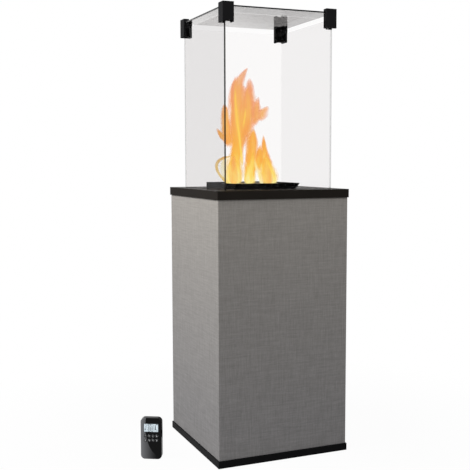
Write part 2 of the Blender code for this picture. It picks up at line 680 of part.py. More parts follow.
# Receiver box on the left panel, with its battery cover
box_outer = -(INNER_FACE - FIT)
box_top = PLATE_UNDER - BOX_DROP
box_low = box_top - BOX_HEIGHT
box_open = box_outer + BOX_DEPTH
receiver = add("receiver_box", block(
    (box_outer, -BOX_WIDTH / 2, box_low), (box_open, BOX_WIDTH / 2, box_top)
), "grey_plastic")
bevel(receiver, BOX_WALL / 2)
boolean(receiver, block(
    (box_outer + BOX_WALL, -BOX_WIDTH / 2 + BOX_WALL, box_low + BOX_WALL),
    (box_open + OVERCUT, BOX_WIDTH / 2 - BOX_WALL, box_top - BOX_WALL),
))
cover = add("receiver_cover", block(
    (FIT, -BOX_WIDTH / 2, box_low), (FIT + BOX_WALL, BOX_WIDTH / 2, box_top)
), "grey_plastic", (box_open, 0, 0))
lip_y = BOX_WIDTH / 2 - BOX_WALL - FIT
boolean(cover, block(
    (FIT - COVER_LIP, -lip_y, box_low + BOX_WALL + FIT), (FIT + BOX_WALL / 2, lip_y, box_top - BOX_WALL - FIT)
), "UNION")

# Ring on the base pan that keeps the gas bottle in place
guide_line = [
    (
        RING_GUIDE_RADIUS * math.cos(math.tau * i / RING_STEPS),
        RING_GUIDE_RADIUS * math.sin(math.tau * i / RING_STEPS),
        0,
    )
    for i in range(RING_STEPS)
]
guide_z = PLINTH_SHEET + FIT + RING_GUIDE_TUBE
add(
    "bottle_ring", sweep(guide_line, RING_GUIDE_TUBE, closed=True, resolution=GUIDE_TUBE_STEPS),
    "zinc", (0, 0, guide_z)
)

# Handset, standing on its lower end
stand = bpy.data.objects.new("handset_stand", None)
stand.location = (HANDSET_X, HANDSET_Y, HANDSET_LIFT)
stand.rotation_euler = (0, 0, math.radians(HANDSET_TURN))
parts.objects.link(stand)


def rounded(half_width, low, high, radius):
    """Outline in the handset's face: (height, width) pairs with round corners."""
    centres = [
        (high - radius, half_width - radius), (low + radius, half_width - radius),
        (low + radius, radius - half_width), (high - radius, radius - half_width),
    ]
    points = []
    for quarter, (centre_z, centre_x) in enumerate(centres):
        for step in range(CORNER_STEPS + 1):
            turn = (quarter + step / CORNER_STEPS) * math.pi / 2
            points.append((centre_z + radius * math.cos(turn), centre_x + radius * math.sin(turn)))
    return points


half_set = HANDSET_WIDTH / 2
half_depth = HANDSET_DEPTH / 2
case_back = half_depth - HANDSET_BACK - FIT
case = add("handset_case", prism(
    rounded(half_set, 0, HANDSET_HEIGHT, HANDSET_CORNER), -half_depth, case_back, "y"
), "black_gloss", parent=stand)
bevel(case, HANDSET_BEVEL, CASE_BEVEL_STEPS)
cavity_front = -half_depth + HANDSET_WALL
boolean(case, prism(rounded(
    half_set - HANDSET_WALL, HANDSET_WALL, HANDSET_HEIGHT - HANDSET_WALL, HANDSET_CORNER - HANDSET_WALL
), cavity_front, case_back + OVERCUT, "y"))
display_top = HANDSET_HEIGHT - DISPLAY_TOP
display_low = display_top - DISPLAY_HEIGHT
half_display = DISPLAY_WIDTH / 2
boolean(case, block(
    (-half_display, -half_depth - OVERCUT, display_low), (half_display, cavity_front + OVERCUT, display_top)
))
board_front = half_depth - BOARD_BACK
board_edge = HANDSET_WALL + FIT
add("handset_board", prism(rounded(
    half_set - board_edge, board_edge, HANDSET_HEIGHT - board_edge, HANDSET_CORNER - board_edge
), board_front, board_front + BOARD_SHEET, "y"), "board", parent=stand)
add("handset_display", block(
    (-half_display + FIT, -half_depth + DISPLAY_RECESS, display_low + FIT),
    (half_display - FIT, board_front - FIT, display_top - FIT),
), "display", parent=stand)
add("handset_back", prism(
    rounded(half_set, 0, HANDSET_HEIGHT, HANDSET_CORNER), 0, HANDSET_BACK, "y"
), "black_satin", (0, half_depth - HANDSET_BACK, 0), parent=stand)

key_number = 0
key_seat = cavity_front + FIT
key_top = HANDSET_WALL + FIT + KEY_PROUD
key_low = key_seat + KEY_TRAVEL_GAP - board_front
key_pitch_x = 2 * (KEY_RADIUS + KEY_FLANGE) + KEY_GAP
for row in range(KEY_ROWS):
    for column in range(KEY_COLUMNS):
        key_number += 1
        key_x = (column - (KEY_COLUMNS - 1) / 2) * key_pitch_x
        key_z = HANDSET_HEIGHT - KEY_TOP_ROW - row * KEY_PITCH_Z
        boolean(case, cylinder(
            KEY_RADIUS + FIT, (key_x, -half_depth - OVERCUT, key_z), (key_x, cavity_front + OVERCUT, key_z),
            SMALL_STEPS
        ))
        key = add("handset_key_" + str(key_number), turned([
            (0, key_top), (KEY_RADIUS - KEY_EDGE, key_top), (KEY_RADIUS, key_top - KEY_EDGE),
            (KEY_RADIUS, 0), (KEY_RADIUS + KEY_FLANGE, 0), (KEY_RADIUS + KEY_FLANGE, -KEY_FLANGE_SHEET),
            (KEY_POST, -KEY_FLANGE_SHEET), (KEY_POST, key_low), (0, key_low),
        ], SMALL_STEPS), "black_gloss", (key_x, key_seat, key_z), parent=stand)
        key.rotation_euler = (math.pi / 2, 0, 0)
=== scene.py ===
# %% [markdown]
# # A patio gas heater with a glass flame box
# The construction comes from a CAD model: a clad cabinet, a black slab, panes, brackets, burner and
# handset. This lesson gives every surface its finish and adds what a CAD model has no use for: the
# flame itself, and the marks on the handset. Nothing of the CAD is moved, so all of it still works.

# %% Load the construction
import json
import math

import bpy
from mathutils import Matrix, Vector


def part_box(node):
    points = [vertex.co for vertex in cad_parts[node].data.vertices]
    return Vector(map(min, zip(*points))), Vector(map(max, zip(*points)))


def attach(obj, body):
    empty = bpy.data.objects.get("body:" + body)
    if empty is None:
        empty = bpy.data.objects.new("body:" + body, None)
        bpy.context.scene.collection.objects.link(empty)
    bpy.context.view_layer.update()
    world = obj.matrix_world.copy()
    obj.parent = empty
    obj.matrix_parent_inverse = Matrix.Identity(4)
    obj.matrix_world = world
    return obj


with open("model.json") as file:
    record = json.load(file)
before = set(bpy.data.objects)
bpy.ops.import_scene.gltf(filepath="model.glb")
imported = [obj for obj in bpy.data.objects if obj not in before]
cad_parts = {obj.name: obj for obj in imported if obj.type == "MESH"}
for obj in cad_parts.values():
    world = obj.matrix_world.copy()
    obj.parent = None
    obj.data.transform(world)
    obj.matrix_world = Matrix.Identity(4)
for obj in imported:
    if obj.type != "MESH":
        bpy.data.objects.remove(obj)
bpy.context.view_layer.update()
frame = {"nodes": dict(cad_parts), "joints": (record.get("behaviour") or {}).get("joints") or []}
nodes = frame["nodes"]

# %% [markdown]
# ## Shader sums written as Python
# A node tree of sums is hard to read, so a small class wraps one socket. Adding or multiplying two
# of these adds a Math node behind the scenes. Every other kind of node comes from one method,
# `node`.

# %% A signal in a shader
MM = 0.001


class Signal:
    """One value in a material. Python sums on it add Math nodes to the same tree."""

    def __init__(self, tree, socket):
        self.tree = tree
        self.socket = socket

    def node(self, kind, settings=None, sockets=None, output=0):
        """Add a shader node: its settings first, then values or links for its sockets."""
        made = self.tree.nodes.new("ShaderNode" + kind)
        for key, value in (settings or {}).items():
            if key == "stops":
                ramp = made.color_ramp.elements
                while len(ramp) < len(value):
                    ramp.new(1.0)
                for stop, (place, colour) in zip(ramp, value):
                    stop.position = place
                    stop.color = (*colour, 1.0)
            else:
                setattr(made, key, value)
        for key, value in (sockets or {}).items():
            target = made.inputs[key]
            if isinstance(value, Signal):
                self.tree.links.new(value.socket, target)
            else:
                target.default_value = value
        return Signal(self.tree, made.outputs[output])

    def maths(self, operation, *others):
        """This value, and any others, put through one Math node."""
        return self.node("Math", {"operation": operation}, dict(enumerate((self, *others))))

    def __add__(self, other):
        return self.maths("ADD", other)

    def __sub__(self, other):
        return self.maths("SUBTRACT", other)

    def __mul__(self, other):
        return self.maths("MULTIPLY", other)

    def __rsub__(self, other):
        return self.node("Math", {"operation": "SUBTRACT"}, {0: other, 1: self})

    __radd__ = __add__
    __rmul__ = __mul__

    def between(self, low, high, start=0.0, end=1.0):
        """Run from start to end as this signal goes from low to high, and stay there."""
        return self.node("MapRange", {"clamp": True}, {0: self, 1: low, 2: high, 3: start, 4: end})

    def mix(self, first, second):
        """Blend two colours by this signal."""
        ends = {0: self, 6: first, 7: second}
        return self.node("Mix", {"data_type": "RGBA"}, ends, output=2)

    def noise(self, scale, detail=3.0, roughness=0.5):
        """Smooth random values, read at this position."""
        return self.node("TexNoise", None, {"Vector": self, "Scale": scale, "Detail": detail,
                                            "Roughness": roughness})

    def warped(self, scale, amount):
        """The position pushed about by smooth random steps, so that a pattern on it swirls."""
        sockets = {"Vector": self, "Scale": scale, "Detail": 2.0}
        push = self.node("TexNoise", None, sockets, output=1)
        settings = {"operation": "MULTIPLY_ADD"}
        return push.node("VectorMath", settings, {0: push, 1: (amount, amount, amount), 2: self})

    def stretched(self, x, y, z):
        """The position with each axis multiplied."""
        return self.node("Mapping", None, {"Vector": self, "Scale": (x, y, z)})

    def axis(self, index):
        """The x, y or z of a position."""
        return self.node("SeparateXYZ", None, {0: self}, output=index)


print("shader sums are ready")

# %% [markdown]
# ## How every finish starts
# Every material starts in the same way: a Principled shader with its plain values, and the position
# on the object. A pattern then feeds only the inputs that can be baked later, such as colour. Most
# noise values lie between 0.3 and 0.7, so that range is spread over the values that are wanted.

# %% Start a finish
NOISE_RANGE = (0.3, 0.7)
WHOLE_BYTE = 255
CURVE_FROM = 10


def rgb(red, green, blue):
    """An sRGB colour in 0 to 255, as the linear colour that a shader takes."""
    def linear(value):
        share = value / WHOLE_BYTE
        return ((share + 0.055) / 1.055) ** 2.4 if value > CURVE_FROM else share / 12.92

    return (linear(red), linear(green), linear(blue), 1.0)


def faded(colour, amount):
    """A colour made darker, below 1, or lighter, above it."""
    return tuple(v * amount for v in colour[:3]) + (1.0,)


class Finish:
    """A material under construction: its Principled shader, its position and its inputs."""

    def __init__(self, name, colour, roughness, metallic=0.0, **constants):
        self.material = bpy.data.materials.new(name)
        self.material.use_nodes = True
        self.tree = self.material.node_tree
        self.shader = self.tree.nodes["Principled BSDF"]
        self.colour = colour
        self.shader.inputs["Base Color"].default_value = colour
        self.shader.inputs["Roughness"].default_value = roughness
        self.shader.inputs["Metallic"].default_value = metallic
        for key, value in constants.items():
            self.shader.inputs[key.replace("_", " ")].default_value = value
        coordinates = self.tree.nodes.new("ShaderNodeTexCoord")
        self.place = Signal(self.tree, coordinates.outputs["Object"])

    def feed(self, name, signal):
        """Link a signal to one input of the shader."""
        self.tree.links.new(signal.socket, self.shader.inputs[name])

    def relief(self, height, strength, distance):
        """Use a signal as the surface's small bumps."""
        sockets = {"Height": height, "Strength": strength, "Distance": distance}
        self.feed("Normal", height.node("Bump", None, sockets))

    def shade(self, darker, lighter, amount):
        """Vary the base colour between two brightnesses of itself."""
        self.feed("Base Color", amount.mix(faded(self.colour, darker), faded(self.colour, lighter)))


def dress(finish, *names):
    """Give CAD nodes this finish."""
    for name in names:
        slots = nodes[name].data.materials
        slots.clear()
        slots.append(finish.material)
    print(finish.material.name, "on", len(names), "nodes")


print("mid grey is", round(rgb(128, 128, 128)[0], 3), "in linear light")

# %% [markdown]
# ## Cladding with a linen weave
# The cabinet is clad in sheet with a coating that looks like grey linen. Real threads are too fine
# to see from here, but their unevenness shows as faint upright and level streaks. Two noises, each
# stretched along one direction, give those streaks, and two finer ones add the threads. The cloth
# is a little warmer and more even towards the top.

# %% Linen cladding
CLADDING_LOW = rgb(136, 134, 134)
CLADDING_HIGH = rgb(144, 140, 135)
LOW_CONTRAST = 0.21
HIGH_CONTRAST = 0.15
PANEL_FOOT = 0.1
PANEL_TOP = 0.8
STREAK_LONG = 17
STREAK_SHORT = 270
THREAD_LONG = 70
THREAD_SHORT = 560
STREAK_SHARE = 0.6
THREAD_SHARE = 0.4
CLOTH_RANGE = (0.36, 0.64)
CLOTH_ROUGHNESS = (0.66, 0.80)
THREAD_RELIEF = 0.3 * MM

linen = Finish("linen_cladding", CLADDING_LOW, 0.72, Specular_IOR_Level=0.3)
upright = linen.place.stretched(STREAK_SHORT, STREAK_SHORT, STREAK_LONG).noise(1.0, 2.0)
level = linen.place.stretched(STREAK_LONG, STREAK_LONG, STREAK_SHORT).noise(1.0, 2.0)
warp = linen.place.stretched(THREAD_SHORT, THREAD_SHORT, THREAD_LONG).noise(1.0, 1.0)
weft = linen.place.stretched(THREAD_LONG, THREAD_LONG, THREAD_SHORT).noise(1.0, 1.0)
streaks = (upright + level) * 0.5
threads = (warp + weft) * 0.5
cloth = streaks * STREAK_SHARE + threads * THREAD_SHARE
height = linen.place.axis(2).between(PANEL_FOOT, PANEL_TOP)
dark_cloth = height.mix(faded(CLADDING_LOW, 1 - LOW_CONTRAST),
                        faded(CLADDING_HIGH, 1 - HIGH_CONTRAST))
light_cloth = height.mix(faded(CLADDING_LOW, 1 + LOW_CONTRAST),
                         faded(CLADDING_HIGH, 1 + HIGH_CONTRAST))
linen.feed("Base Color", cloth.between(*CLOTH_RANGE).mix(dark_cloth, light_cloth))
linen.feed("Roughness", threads.between(*NOISE_RANGE, *CLOTH_ROUGHNESS))
linen.relief(threads, 0.25, THREAD_RELIEF)
dress(linen, "front_panel", "left_panel", "right_panel", "rear_door")

# %% [markdown]
# ## Black slab, plinth, brackets and tray
# The slab has a smooth brownish lacquer. The plinth, the latch and the brackets are powder coated,
# with a fine grain that spreads the highlights. The tray has an enamel that soot darkens unevenly.
# All three mirror little, because the studio around them is white.

# %% Black lacquer, powder coat and enamel
GRAIN_SCALE = 2400.0
GRAIN_RELIEF = 0.1 * MM

lacquer = Finish("black_lacquer", rgb(37, 34, 31), 0.3, Specular_IOR_Level=0.003)
cloud = lacquer.place.noise(9.0, 3.0)
lacquer.feed("Roughness", cloud.between(*NOISE_RANGE, 0.26, 0.36))
lacquer.shade(0.8, 1.2, cloud)
dress(lacquer, "top_slab")

powder = Finish("black_powder_coat", rgb(23, 23, 24), 0.42, Specular_IOR_Level=0.012)
grain = powder.place.noise(GRAIN_SCALE, 2.0)
wear = powder.place.noise(24.0, 3.0)
powder.shade(0.8, 1.25, wear)
powder.feed("Roughness", wear.between(*NOISE_RANGE, 0.36, 0.48))
powder.relief(grain, 0.12, GRAIN_RELIEF)
brackets = [name for name in nodes if name.startswith("bracket_")]
dress(powder, "base_pan", "door_latch", *brackets)

enamel = Finish("tray_enamel", rgb(17, 17, 18), 0.4, Specular_IOR_Level=0.01)
soot = enamel.place.noise(30.0, 3.0)
enamel.shade(0.7, 1.3, soot)
enamel.feed("Roughness", soot.between(*NOISE_RANGE, 0.34, 0.5))
dress(enamel, "burner_tray")

# %% [markdown]
# ## Clear toughened glass
# A pane is clear across its face, but its cut edge looks dark, because light that enters it bounces
# along inside. That dark edge is painted shade: the colour is darkened along each pane's border,
# which is worked out from the pane's own box, darkest at the near corner. The left and right panes
# carry painted grey shade, so they are a little greyer than the front one. The lid is smoked, with
# a painted reflection that makes it clearer towards its left corner, and painted shade on its two
# near edges.

# %% Glass panes
PANE_BEND = 1.06
LID_BEND = 1.25
# Where the lid's painted reflection is full, and where its plain smoke begins.
PAINTED_REFLECTION_UP_TO = -190 * MM
SMOKED_FROM = 50 * MM
RIM_WIDTH = 3.0 * MM
RIM_CORE = 0.4
RIM_CLEARNESS = 0.45
# Painted shade: the colours given to the rims of the panes and the lid.
PAINTED_DARK_EDGE_SHADE = (0.015, 0.015, 0.015, 1.0)
PAINTED_PALE_EDGE_SHADE = (0.50, 0.50, 0.50, 1.0)
CORNER_FADE = 20 * MM
SMEAR_SCALE = 7.0
pane_low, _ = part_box("front_pane")
NEAR_CORNER = -(pane_low.x + pane_low.y) - CORNER_FADE


def smear(glass):
    """Leave a few faint smears, where the pane is a little less smooth."""
    glass.feed("Roughness", glass.place.noise(SMEAR_SCALE, 4.0).between(0.5, 0.8, 0.0, 0.02))


def pane_finish(name, tint_and_painted_light):
    """A side pane with painted shade on its upright rims, dark at the near corner and faint at the
    far one.
    """
    low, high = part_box(name)
    glass = Finish(name + "_glass", tint_and_painted_light, 0.0, IOR=PANE_BEND, Transmission_Weight=1.0)
    wide = 0 if high.x - low.x > high.y - low.y else 1
    inwards = (high[wide] - low[wide]) / 2 - glass.place.axis(wide).maths("ABSOLUTE")
    # Painted shade on the upright rims: dark at the near corner, pale grey at the side corners,
    # none at the far one.
    edge_shade_mask = inwards.between(RIM_CORE * RIM_WIDTH, RIM_WIDTH, 1.0, 0.0)
    towards_front = glass.place.axis(0) + glass.place.axis(1)
    dark = towards_front.between(-NEAR_CORNER, -NEAR_CORNER + CORNER_FADE, 1.0, 0.0)
    far = towards_front.between(NEAR_CORNER - CORNER_FADE, NEAR_CORNER)
    edge_shade_colour = far.mix(PAINTED_PALE_EDGE_SHADE, tint_and_painted_light)
    glass.feed("Base Color", edge_shade_mask.mix(tint_and_painted_light, dark.mix(edge_shade_colour, PAINTED_DARK_EDGE_SHADE)))
    glass.feed("Alpha", 1 - edge_shade_mask * (1 - dark) * RIM_CLEARNESS)
    smear(glass)
    return glass


def lid_finish(name, painted_reflection_tint, smoked_tint):
    """The smoked lid, with a painted reflection at its left corner and painted shade on its two
    near edges.
    """
    low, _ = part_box(name)
    glass = Finish(name + "_glass", painted_reflection_tint, 0.0, IOR=LID_BEND, Transmission_Weight=1.0)
    # Painted reflection: the smoke is lightened towards the lid's left corner.
    towards_right = glass.place.axis(0) - glass.place.axis(1)
    tint_and_painted_light = towards_right.between(PAINTED_REFLECTION_UP_TO, SMOKED_FROM).mix(painted_reflection_tint, smoked_tint)
    # Painted shade darkens the lid's two near edges.
    nearest_front = glass.place.axis(0).maths("MINIMUM", glass.place.axis(1))
    edge_shade_mask = nearest_front.between(low.x + RIM_WIDTH, low.x + 2 * RIM_WIDTH, 1.0, 0.0)
    glass.feed("Base Color", edge_shade_mask.mix(tint_and_painted_light, PAINTED_DARK_EDGE_SHADE))
    smear(glass)
    return glass


# The front and rear carry the glass's own tint; the greyer left and right tints are painted shade.
PANE_TINTS_WITH_PAINTED_GREY = {"front_pane": (0.978, 0.972, 0.970, 1), "rear_pane": (0.978, 0.972, 0.970, 1),
         "left_pane": (0.796, 0.786, 0.786, 1), "right_pane": (0.902, 0.894, 0.894, 1)}
# First the smoke lightened by painted reflection, then the plain smoked tint.
LID_PAINTED_REFLECTION_AND_SMOKE = ((0.530, 0.520, 0.514, 1), (0.305, 0.296, 0.292, 1))
for name, tint_and_painted_light in PANE_TINTS_WITH_PAINTED_GREY.items():
    dress(pane_finish(name, tint_and_painted_light), name)
dress(lid_finish("lid_pane", *LID_PAINTED_REFLECTION_AND_SMOKE), "lid_pane")

# %% [markdown]
# ## Metal, brass and plastic inside the cabinet
# Behind the door are the posts, the valve and the pipe. Zinc has pale patches and is darker on the
# hinges, stainless steel near a flame takes a straw tint, and brass dulls unevenly. Each finish is
# one noise between two shades of its own colour.

# %% Zinc, steel, brass, ceramic
def mottled(name, colour, roughness, metallic, scale, dark, light, spread=0.08):
    """A finish whose colour and roughness wander a little over the surface."""
    made = Finish(name, colour, roughness, metallic)
    patches = made.place.noise(scale, 4.0)
    made.shade(dark, light, patches.between(*NOISE_RANGE))
    made.feed("Roughness", patches.between(*NOISE_RANGE, roughness - spread, roughness + spread))
    return made


zinc = mottled("zinc_plate", rgb(176, 178, 180), 0.42, 1.0, 60.0, 0.8, 1.15)
hinges = [name for name in nodes if name.startswith("hinge_")]
posts = [name for name in nodes if name.startswith("post_")]
dress(zinc, "valve_hanger", "bottle_ring", "gas_pipe", *posts)
dark_zinc = mottled("dark_zinc_plate", rgb(92, 93, 96), 0.45, 1.0, 60.0, 0.85, 1.15)
dress(dark_zinc, *hinges)
steel = mottled("heat_tinted_steel", rgb(168, 160, 146), 0.35, 1.0, 30.0, 0.6, 1.1)
dress(steel, "burner_ring", "pilot_burner")
brass = mottled("machined_brass", rgb(196, 164, 96), 0.32, 1.0, 90.0, 0.75, 1.1)
dress(brass, "injector", "control_valve")
ceramic = mottled("white_ceramic", rgb(226, 222, 210), 0.3, 0.0, 200.0, 0.9, 1.05)
dress(ceramic, "spark_electrode")
knob_plastic = mottled("knob_plastic", rgb(34, 34, 35), 0.5, 0.0, 400.0, 0.8, 1.2)
dress(knob_plastic, "valve_knob")
box_plastic = mottled("box_plastic", rgb(120, 121, 124), 0.55, 0.0, 300.0, 0.94, 1.06)
dress(box_plastic, "receiver_box", "receiver_cover")

# %% [markdown]
# ## The handset's shell and keys
# The handset has a gloss black face, and round keys with a pale ring. A painted reflection, a
# lighter sweep, runs over the face outside an ellipse and fades towards the right. The ellipse lies
# in the face's own plane, so the position is first turned to the handset's axes. They follow from
# the direction in which a key is pressed, which the model gives.

# %% Where the handset stands
press = next(joint for joint in frame["joints"] if joint["name"] == "handset_key_1_press")
inwards = Vector(press["axis"]).normalized()
outwards = -inwards
across = Vector((inwards.y, -inwards.x, 0.0))
case_low, case_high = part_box("handset_case")
case_foot = Vector(((case_low.x + case_high.x) / 2, (case_low.y + case_high.y) / 2, case_low.z))
case_height = round(case_high.z - case_low.z, 3)
print("handset faces", [round(v, 3) for v in outwards], "and is", case_height, "m high")


def face_plane(node):
    """How far along the outward direction a node's front face lies."""
    return max(vertex.co.dot(outwards) for vertex in nodes[node].data.vertices)


def on_face(node, sideways, height):
    """A point on a node's front face, sideways from the handset's middle and above its foot."""
    middle = case_foot - outwards * case_foot.dot(outwards)
    up = Vector((0, 0, case_low.z + height - middle.z))
    return middle + across * sideways + up + outwards * face_plane(node)


# %% Gloss shell with its painted reflection
REFLECTION_CENTRE = (32 * MM, 100 * MM)
REFLECTION_RADII = (50 * MM, 92 * MM)
REFLECTION_EDGE = (0.99, 1.01)
REFLECTION_LEFT = -34 * MM
REFLECTION_RIGHT = 18 * MM
REFLECTION_POWER = 1.5
PAINTED_REFLECTION_GREY = rgb(138, 139, 142)
GLOSS_BLACK = rgb(13, 13, 14)
FACE_BACK = 1.0 * MM
FACE_FRONT = 0.3 * MM

gloss = Finish("handset_gloss", GLOSS_BLACK, 0.12, Specular_IOR_Level=0.08)
sideways = gloss.place.axis(0) * across.x + gloss.place.axis(1) * across.y - case_foot.dot(across)
upwards = gloss.place.axis(2) - case_low.z
# Painted reflection: grey outside an ellipse on the front face, fading towards the right.
from_x = (sideways - REFLECTION_CENTRE[0]) * (1 / REFLECTION_RADII[0])
from_z = (upwards - REFLECTION_CENTRE[1]) * (1 / REFLECTION_RADII[1])
outside = (from_x * from_x + from_z * from_z).between(*REFLECTION_EDGE)
reflection_fade = sideways.between(REFLECTION_LEFT, REFLECTION_RIGHT, 1.0, 0.0).maths("POWER", REFLECTION_POWER)
face_depth = face_plane("handset_case")
depth = gloss.place.axis(0) * outwards.x + gloss.place.axis(1) * outwards.y
on_front = depth.between(face_depth - FACE_BACK, face_depth - FACE_FRONT)
painted_reflection = outside * reflection_fade * on_front
gloss.feed("Base Color", painted_reflection.mix(GLOSS_BLACK, PAINTED_REFLECTION_GREY))
gloss.feed("Roughness", gloss.place.noise(40.0).between(*NOISE_RANGE, 0.09, 0.15))
dress(gloss, "handset_case")

rear_plastic = mottled("handset_rear_plastic", rgb(58, 58, 60), 0.45, 0.0, 500.0, 0.85, 1.15)
dress(rear_plastic, "handset_back")
board_green = mottled("board_green", rgb(34, 92, 52), 0.45, 0.0, 120.0, 0.8, 1.2)
dress(board_green, "handset_board")

glow = Finish("display_glow", rgb(214, 228, 236), 0.2, Emission_Strength=0.35)
unevenness = glow.place.noise(30.0)
glow.feed("Emission Color", unevenness.mix(rgb(196, 216, 228), rgb(224, 236, 242)))
glow.feed("Base Color", unevenness.mix(rgb(196, 212, 222), rgb(220, 230, 236)))
dress(glow, "handset_display")

# %% Keys with a printed ring
KEYS = range(1, 9)
RING_OUTER = 4.5 * MM
RING_INNER = 4.15 * MM
RING_EDGE = 0.1 * MM
KEY_BLACK = rgb(20, 20, 22)
RING_GREY = rgb(140, 141, 144)

for number in KEYS:
    name = "handset_key_" + str(number)
    low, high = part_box(name)
    centre = (low + high) / 2
    key = Finish("key_print_" + str(number), KEY_BLACK, 0.25, Specular_IOR_Level=0.1)
    along = key.place.axis(0) * across.x + key.place.axis(1) * across.y - centre.dot(across)
    rise = key.place.axis(2) - centre.z
    reach = (along * along + rise * rise).maths("SQRT")
    past_inner = reach.between(RING_INNER, RING_INNER + RING_EDGE)
    ring = past_inner * reach.between(RING_OUTER, RING_OUTER + RING_EDGE, 1.0, 0.0)
    key.feed("Base Color", ring.mix(KEY_BLACK, RING_GREY))
    key.feed("Roughness", key.place.noise(300.0).between(*NOISE_RANGE, 0.2, 0.3))
    dress(key, name)

# %% [markdown]
# ## Marks on the display and the keys
# The display shows plain numbers, a thermometer and a few signs, and each key carries a sign of its
# own. They are thin raised shapes, drawn flat in millimetres. Each is a primitive that is shaped in
# edit mode. A sign's shapes are then joined, and one matrix lays them on the handset's face.

# %% Tools for flat marks
MARK_HEIGHT = 0.12 * MM
CORNER_TRIM = 0.2
ROUND = 20
ARROW_WIDTH = 0.47
ARROW_NOTCH = 1.3
UPSIDE_DOWN = math.pi


def clear_selection():
    """Leave edit mode and deselect everything, so that the next operator acts on new shapes."""
    if bpy.context.object and bpy.context.object.mode != "OBJECT":
        bpy.ops.object.mode_set(mode="OBJECT")
    bpy.ops.object.select_all(action="DESELECT")


def spin(centre, turn):
    """Turn the flat shape that is being edited about its centre."""
    if turn:
        bpy.ops.transform.rotate(value=turn, orient_axis="Z", center_override=centre)


def stretch(centre, width, height):
    """Stretch the flat shape that is being edited about its centre."""
    bpy.ops.transform.resize(value=(width, height, 1.0), center_override=centre)


def thicken():
    """Give the flat shape that is being edited its height."""
    bpy.ops.mesh.extrude_region_move(TRANSFORM_OT_translate={"value": (0, 0, MARK_HEIGHT)})
    bpy.ops.object.mode_set(mode="OBJECT")
    return bpy.context.object


def bar(x, y, width, height, turn=0.0):
    """A thin bar with trimmed corners, centred at x and y."""
    centre = (x * MM, y * MM, 0)
    clear_selection()
    bpy.ops.mesh.primitive_plane_add(size=1.0, location=centre)
    bpy.ops.object.mode_set(mode="EDIT")
    stretch(centre, width * MM, height * MM)
    spin(centre, turn)
    trim = min(width, height) * MM * CORNER_TRIM
    bpy.ops.mesh.bevel(offset=trim, segments=1, affect="VERTICES")
    return thicken()


def disc(x, y, radius, corners=ROUND, turn=0.0, squeeze=1.0):
    """A thin disc, or with few corners another sign, such as a diamond."""
    centre = (x * MM, y * MM, 0)
    clear_selection()
    bpy.ops.mesh.primitive_circle_add(vertices=corners, radius=radius * MM, fill_type="NGON",
                                      location=centre)
    bpy.ops.object.mode_set(mode="EDIT")
    spin(centre, turn)
    stretch(centre, squeeze, 1.0)
    return thicken()


def triangle(x, y, radius, turn=0.0):
    """A thin triangle that points up, unless it is turned."""
    return disc(x, y, radius, 3, turn)


def hoop(x, y, radius, width):
    """A thin ring: a disc whose middle is inset and removed."""
    clear_selection()
    bpy.ops.mesh.primitive_circle_add(vertices=ROUND, radius=radius * MM, fill_type="NGON",
                                      location=(x * MM, y * MM, 0))
    bpy.ops.object.mode_set(mode="EDIT")
    bpy.ops.mesh.inset(thickness=width * MM, depth=0)
    bpy.ops.mesh.delete(type="FACE")
    bpy.ops.mesh.select_all(action="SELECT")
    return thicken()


def arrow(y, size, turn=0.0):
    """A thin arrow head: a diamond whose lower corner is pushed up to make a notch."""
    piece = disc(0, 0, size, 4, squeeze=ARROW_WIDTH)
    size = size * MM
    bpy.ops.object.mode_set(mode="EDIT")
    bpy.ops.mesh.select_all(action="DESELECT")
    bpy.ops.object.mode_set(mode="OBJECT")
    for vertex in piece.data.vertices:
        vertex.select = vertex.co.y < -size / 2
    bpy.ops.object.mode_set(mode="EDIT")
    bpy.ops.transform.translate(value=(0, ARROW_NOTCH * size, 0))
    bpy.ops.mesh.select_all(action="SELECT")
    bpy.ops.transform.translate(value=(0, -size / 2, 0))
    spin((0, 0, 0), turn)
    bpy.ops.transform.translate(value=(0, y * MM, 0))
    bpy.ops.object.mode_set(mode="OBJECT")
    return piece


def drawn(rows):
    """Draw the rows of a table: a shape, then its numbers."""
    return [shape(*numbers) for shape, *numbers in rows]


def lay(name, pieces, origin, finish, body):
    """Join flat marks, lay them on the handset at origin and let them ride on a body."""
    clear_selection()
    for piece in pieces:
        piece.select_set(True)
    bpy.context.view_layer.objects.active = pieces[0]
    bpy.ops.object.transform_apply(location=True, rotation=True, scale=True)
    bpy.ops.object.join()
    joined = bpy.context.object
    joined.name = name
    joined.data.name = name
    turn = Matrix((across, Vector((0, 0, 1)), outwards)).transposed().to_4x4()
    joined.data.transform(Matrix.Translation(origin) @ turn)
    bpy.ops.object.mode_set(mode="EDIT")
    bpy.ops.mesh.select_all(action="SELECT")
    bpy.ops.mesh.normals_make_consistent(inside=False)
    bpy.ops.object.mode_set(mode="OBJECT")
    joined.data.materials.clear()
    joined.data.materials.append(finish.material)
    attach(joined, body)
    print(name, "has", len(joined.data.polygons), "faces")


# %% Signs on the display
SEGMENT_GAP = 0.3
SEGMENTS = ((0, 1, 0), (0, 0, 0), (0, -1, 0),
            (-1, 0.5, 1), (1, 0.5, 1), (-1, -0.5, 1), (1, -0.5, 1))


def digit(x, y, width, height, stroke):
    """A seven-segment eight, centred at x and y."""
    made = []
    for side, level_share, is_upright in SEGMENTS:
        centre_y = y + level_share * (height - stroke) / 2
        if is_upright:
            centre_x = x + side * (width - stroke) / 2
            length = (height - stroke) / 2 - stroke * SEGMENT_GAP
            made.append(bar(centre_x, centre_y, stroke, length))
        else:
            made.append(bar(x, centre_y, width - stroke, stroke))
    return made


